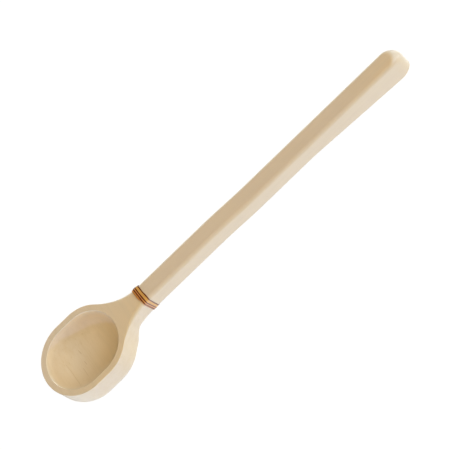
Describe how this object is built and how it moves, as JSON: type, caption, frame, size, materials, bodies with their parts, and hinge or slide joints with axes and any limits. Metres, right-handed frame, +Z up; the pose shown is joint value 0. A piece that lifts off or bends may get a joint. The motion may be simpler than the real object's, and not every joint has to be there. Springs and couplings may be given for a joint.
{
  "type": "sauna ladle",
  "caption": "Wooden ladle with an oval hollowed bowl, a swept neck and a long straight handle, bound with a leather lace over the joint, for pouring water on hot stones.",
  "frame": {"origin": "middle of the bowl's flat base, half way between the centres of its round ends", "axes": "+X along the handle, from the bowl to the handle's end; +Z up, out of the bowl's mouth; +Y across"},
  "size_m": [0.3995, 0.0678, 0.0291],
  "materials": {
    "bowl_wood": "sanded bare, satin",
    "handle_wood": "sanded bare, satin",
    "lace_leather": "tan, semi-gloss, dark cut edges"
  },
  "bodies": {
    "root": {"bowl": "bowl_wood", "handle": "handle_wood", "lace": "lace_leather"}
  },
  "joints": []
}
